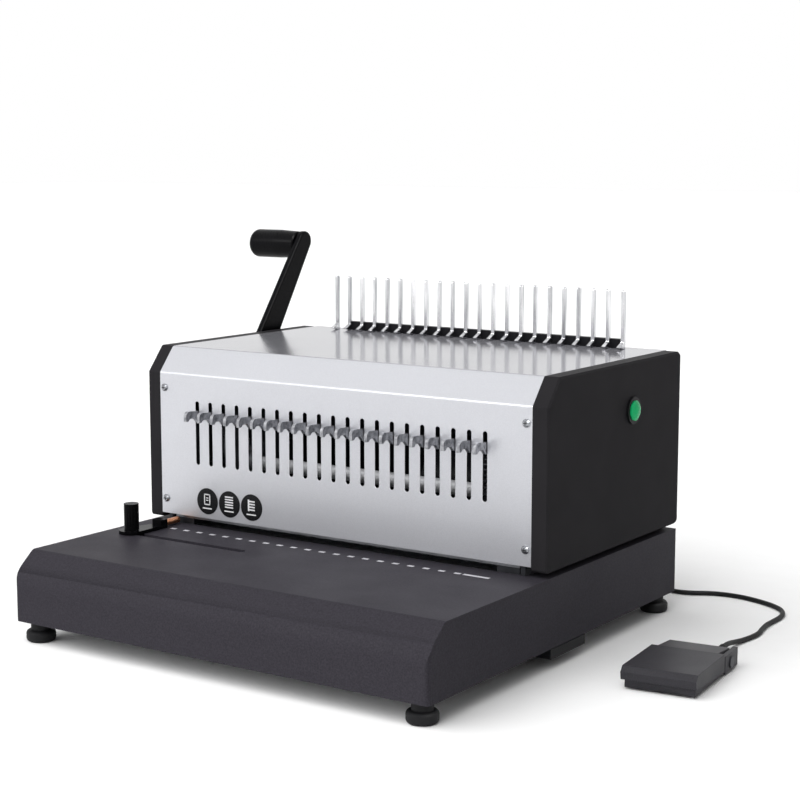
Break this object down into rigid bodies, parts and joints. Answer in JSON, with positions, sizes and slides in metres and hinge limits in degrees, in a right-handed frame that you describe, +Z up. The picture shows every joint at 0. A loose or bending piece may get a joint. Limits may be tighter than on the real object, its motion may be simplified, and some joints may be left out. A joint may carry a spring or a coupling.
{
  "type": "comb binding machine",
  "caption": "Desktop electric comb binding machine: graphite base, silver slotted front with comb hooks worked by a side lever, motor punch, comb fingers on top and a corded foot pedal.",
  "frame": {"origin": "on the desk, under the middle of the base's footprint, level with the undersides of the feet", "axes": "X to the machine's right seen from the front, Y to its rear, Z up"},
  "size_m": [0.5827, 0.4535, 0.3144],
  "materials": {
    "graphite_paint": "fine textured",
    "silver_paint": "satin",
    "black_plastic": "satin",
    "black_rubber": "matte",
    "cord_rubber": "matte",
    "machined_steel": "ground",
    "dark_steel": "black oxide",
    "lever_black": "satin",
    "finger_steel": "polished",
    "bearing_brass": "plain",
    "button_green": "glossy",
    "circuit_board": "plain",
    "motor_black": "painted"
  },
  "bodies": {
    "machine": {"base_shell": "graphite_paint", "bottom_plate": "dark_steel", "base_feet": "black_rubber", "tray_runners": "machined_steel", "die_bearers": "dark_steel", "die_plate": "machined_steel", "stripper_plate": "machined_steel", "throat_spacers": "dark_steel", "paper_stop": "dark_steel", "guide_posts": "machined_steel", "left_frame": "dark_steel", "right_frame": "dark_steel", "tie_bars": "machined_steel", "shaft_bushes": "bearing_brass", "guide_rods": "machined_steel", "rod_brackets": "dark_steel", "left_cap": "black_plastic", "right_cap": "black_plastic", "front_panel": "silver_paint", "top_cover": "silver_paint", "rear_panel": "graphite_paint", "panel_screws": "dark_steel", "finger_rail": "black_plastic", "comb_fingers": "finger_steel", "button_bezel": "black_plastic", "power_switch": "black_plastic", "mains_inlet": "black_plastic", "control_board": "circuit_board", "gear_motor": "motor_black", "motor_bracket": "dark_steel", "pedal_base": "graphite_paint", "pedal_pin": "dark_steel", "pedal_switch": "black_plastic", "pedal_pads": "black_rubber", "base_gland": "black_rubber", "pedal_gland": "black_rubber", "pedal_cord": "cord_rubber"},
    "opener": {"opener_shaft": "machined_steel", "opener_gears": "machined_steel", "lever_hub": "dark_steel", "lever_arm": "lever_black", "lever_grip": "black_plastic"},
    "hook_carriage": {"carriage_bar": "dark_steel", "carriage_arms": "dark_steel", "opener_racks": "machined_steel", "comb_hooks": "machined_steel"},
    "cam_drive": {"cam_shaft": "machined_steel", "heart_cams": "machined_steel", "drive_gear": "machined_steel"},
    "motor_rotor": {"motor_pinion": "machined_steel"},
    "punch_ram": {"ram_bar": "dark_steel", "ram_yokes": "dark_steel", "punches": "machined_steel"},
    "tray": {"chip_tray": "black_plastic"},
    "side_guide": {"guide_bracket": "lever_black", "stop_pin": "bearing_brass", "clamp_bolt": "dark_steel"},
    "clamp_knob": {"guide_knob": "black_plastic"},
    "button": {"power_button": "button_green"},
    "treadle": {"pedal_treadle": "graphite_paint"}
  },
  "joints": [
    {"name": "lever_pull", "type": "hinge", "parent": "machine", "child": "opener", "pos_m": [0, 0.096, 0.15], "axis": [1, 0, 0], "range_deg": [0, 57]},
    {"name": "hook_slide", "type": "slide", "parent": "machine", "child": "hook_carriage", "axis": [0, 0, -1], "range_m": [0, 0.034]},
    {"name": "cam_turn", "type": "hinge", "parent": "machine", "child": "cam_drive", "pos_m": [0, 0.046, 0.116], "axis": [1, 0, 0], "range_deg": [0, 180]},
    {"name": "ram_slide", "type": "slide", "parent": "machine", "child": "punch_ram", "axis": [0, 0, -1], "range_m": [0, 0.0131]},
    {"name": "pinion_turn", "type": "hinge", "parent": "machine", "child": "motor_rotor", "pos_m": [0, 0.09918, 0.10662], "axis": [1, 0, 0], "range_deg": [-541, 0]},
    {"name": "tray_slide", "type": "slide", "parent": "machine", "child": "tray", "axis": [-1, 0, 0], "range_m": [0, 0.3]},
    {"name": "guide_slide", "type": "slide", "parent": "machine", "child": "side_guide", "axis": [1, 0, 0], "range_m": [0, 0.116]},
    {"name": "knob_turn", "type": "hinge", "parent": "side_guide", "child": "clamp_knob", "pos_m": [-0.172, -0.0845, 0.088], "axis": [0, 0, 1], "range_deg": [0, 180]},
    {"name": "button_press", "type": "slide", "parent": "machine", "child": "button", "axis": [-1, 0, 0], "range_m": [0, 0.0025], "stiffness_N_per_m": 400, "springref_m": -0.002},
    {"name": "treadle_press", "type": "hinge", "parent": "machine", "child": "treadle", "pos_m": [0.28336, 0.04603, 0.008], "axis": [0.9945, 0.1045, 0], "range_deg": [0, 3.5], "stiffness_Nm_per_rad": 5, "springref_deg": -2.86}
  ],
  "couplings": [
    {"joint": "hook_slide", "follows": "lever_pull", "m_per_rad": 0.034},
    {"joint": "ram_slide", "follows": "cam_turn", "m_per_rad": 0.004138},
    {"joint": "pinion_turn", "follows": "cam_turn", "ratio": -3}
  ]
}
